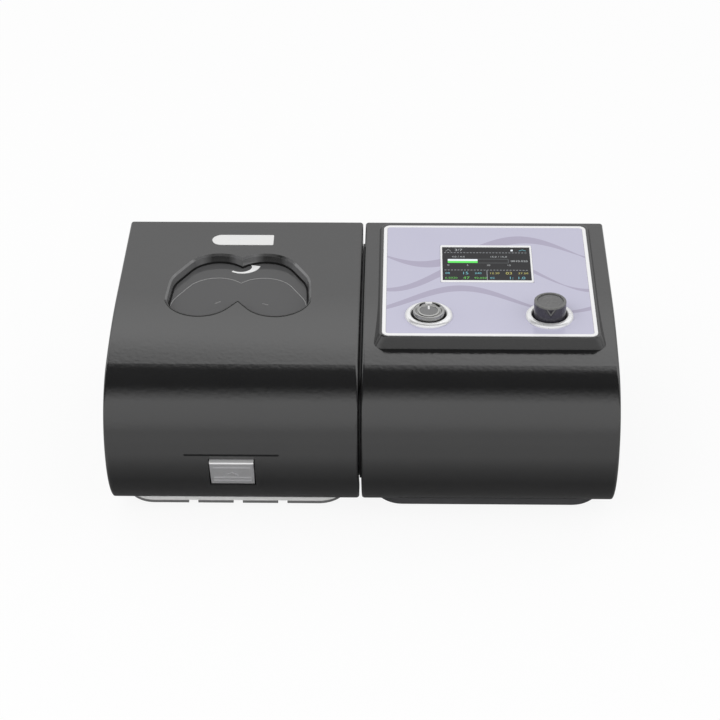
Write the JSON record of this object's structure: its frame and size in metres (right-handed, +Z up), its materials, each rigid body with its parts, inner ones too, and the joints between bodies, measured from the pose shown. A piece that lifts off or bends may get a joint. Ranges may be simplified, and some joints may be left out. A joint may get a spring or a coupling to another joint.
{
  "type": "cpap machine",
  "caption": "Bedside CPAP machine: blower unit with screen, start button and knob, docked to a heated humidifier with a hinged cover and water tub.",
  "frame": {"origin": "on the table, under the middle of the whole machine's box, from the OPEN button to the hose port", "axes": "+Z up, the front faces -Y, +X to the right of someone who faces the front"},
  "size_m": [0.318, 0.2202, 0.1257],
  "materials": {
    "body_plastic": "finely textured black",
    "frame_plastic": "moulded dark grey",
    "grey_plastic": "moulded light grey",
    "white_plastic": "glossy white",
    "overlay_film": "glossy lavender grey",
    "screen": "dark display glass",
    "silver_paint": "satin silver",
    "ring_metal": "polished bevelled ring",
    "smoke_plastic": "smoked glossy",
    "clear_plastic": "clear moulded",
    "rubber": "black rubber",
    "steel": "zinc plated",
    "aluminium": "anodised",
    "board": "green solder mask",
    "foam": "open-cell foam",
    "amber_film": "polyimide film",
    "insulation": "mica board",
    "label": "blank white label"
  },
  "bodies": {
    "main_unit": {"main_upper_casing": "body_plastic", "main_bottom_pan": "frame_plastic", "main_feet": "rubber", "main_screws": "steel", "panel_border_frame": "white_plastic", "panel_overlay": "overlay_film", "display_bezel": "white_plastic", "display_module": "screen", "panel_board": "board", "panel_screws": "steel", "start_button_ring": "ring_metal", "start_button_guide": "frame_plastic", "start_switch_body": "frame_plastic", "knob_ring": "ring_metal", "encoder_body": "frame_plastic", "blower_housing_lower": "frame_plastic", "blower_housing_upper": "frame_plastic", "blower_motor": "aluminium", "blower_mounts": "rubber", "outlet_duct": "frame_plastic", "inlet_muffler": "foam", "inlet_filter": "foam", "power_inlet_socket": "frame_plastic", "card_socket": "frame_plastic", "main_circuit_board": "board", "heater_socket": "frame_plastic"},
    "start_button": {"start_button_cap": "smoke_plastic", "start_switch_plunger": "frame_plastic", "start_button_spring": "steel"},
    "encoder_push": {"encoder_plunger": "frame_plastic"},
    "knob": {"control_knob": "smoke_plastic", "encoder_shaft": "steel"},
    "impeller": {"blower_impeller": "grey_plastic", "motor_shaft": "steel"},
    "inlet_cover": {"filter_cover": "frame_plastic"},
    "card": {"data_card": "frame_plastic"},
    "humidifier": {"humidifier_chassis": "frame_plastic", "humidifier_base_pan": "grey_plastic", "humidifier_feet": "rubber", "humidifier_screws": "steel", "heater_insulator": "insulation", "heater_film": "amber_film", "heater_plate": "aluminium", "heater_connector": "frame_plastic", "water_tub": "clear_plastic", "tub_metal_base": "steel", "tub_seal": "rubber", "tub_lid": "clear_plastic", "tub_fill_cap": "white_plastic", "dock_port_seal": "rubber", "outlet_port": "grey_plastic", "outlet_seal": "rubber", "hinge_pins": "steel"},
    "cover": {"humidifier_cover": "body_plastic", "cover_window": "clear_plastic", "cover_label": "label", "latch_housing": "frame_plastic"},
    "open_latch": {"open_button": "silver_paint", "latch_slide": "frame_plastic", "button_springs": "steel"}
  },
  "joints": [
    {"name": "start_press", "type": "slide", "parent": "main_unit", "child": "start_button", "axis": [0, 0, -1], "range_m": [0, 0.0012], "stiffness_N_per_m": 400, "springref_m": -0.001, "deforming": ["start_button_spring"]},
    {"name": "knob_press", "type": "slide", "parent": "main_unit", "child": "encoder_push", "axis": [0, 0, -1], "range_m": [0, 0.001], "stiffness_N_per_m": 700, "springref_m": -0.001},
    {"name": "knob_turn", "type": "hinge", "parent": "encoder_push", "child": "knob", "pos_m": [0.11735, -0.0341, 0.1161], "axis": [0, 0, 1], "continuous": true},
    {"name": "impeller_spin", "type": "hinge", "parent": "main_unit", "child": "impeller", "pos_m": [0.0833, -0.0047, 0.073], "axis": [0, 0, 1], "continuous": true},
    {"name": "inlet_cover_pull", "type": "slide", "parent": "main_unit", "child": "inlet_cover", "axis": [0, 1, 0], "range_m": [0, 0.012]},
    {"name": "card_pull", "type": "slide", "parent": "main_unit", "child": "card", "axis": [1, 0, 0], "range_m": [0, 0.015]},
    {"name": "humidifier_undock", "type": "slide", "parent": "main_unit", "child": "humidifier", "axis": [-1, 0, 0], "range_m": [0, 0.04]},
    {"name": "cover_hinge", "type": "hinge", "parent": "humidifier", "child": "cover", "pos_m": [-0.0805, 0.0813, 0.102], "axis": [-1, 0, 0], "range_deg": [0, 95]},
    {"name": "open_press", "type": "slide", "parent": "cover", "child": "open_latch", "axis": [0, 1, 0], "range_m": [0, 0.0025], "stiffness_N_per_m": 600, "springref_m": -0.002}
  ]
}
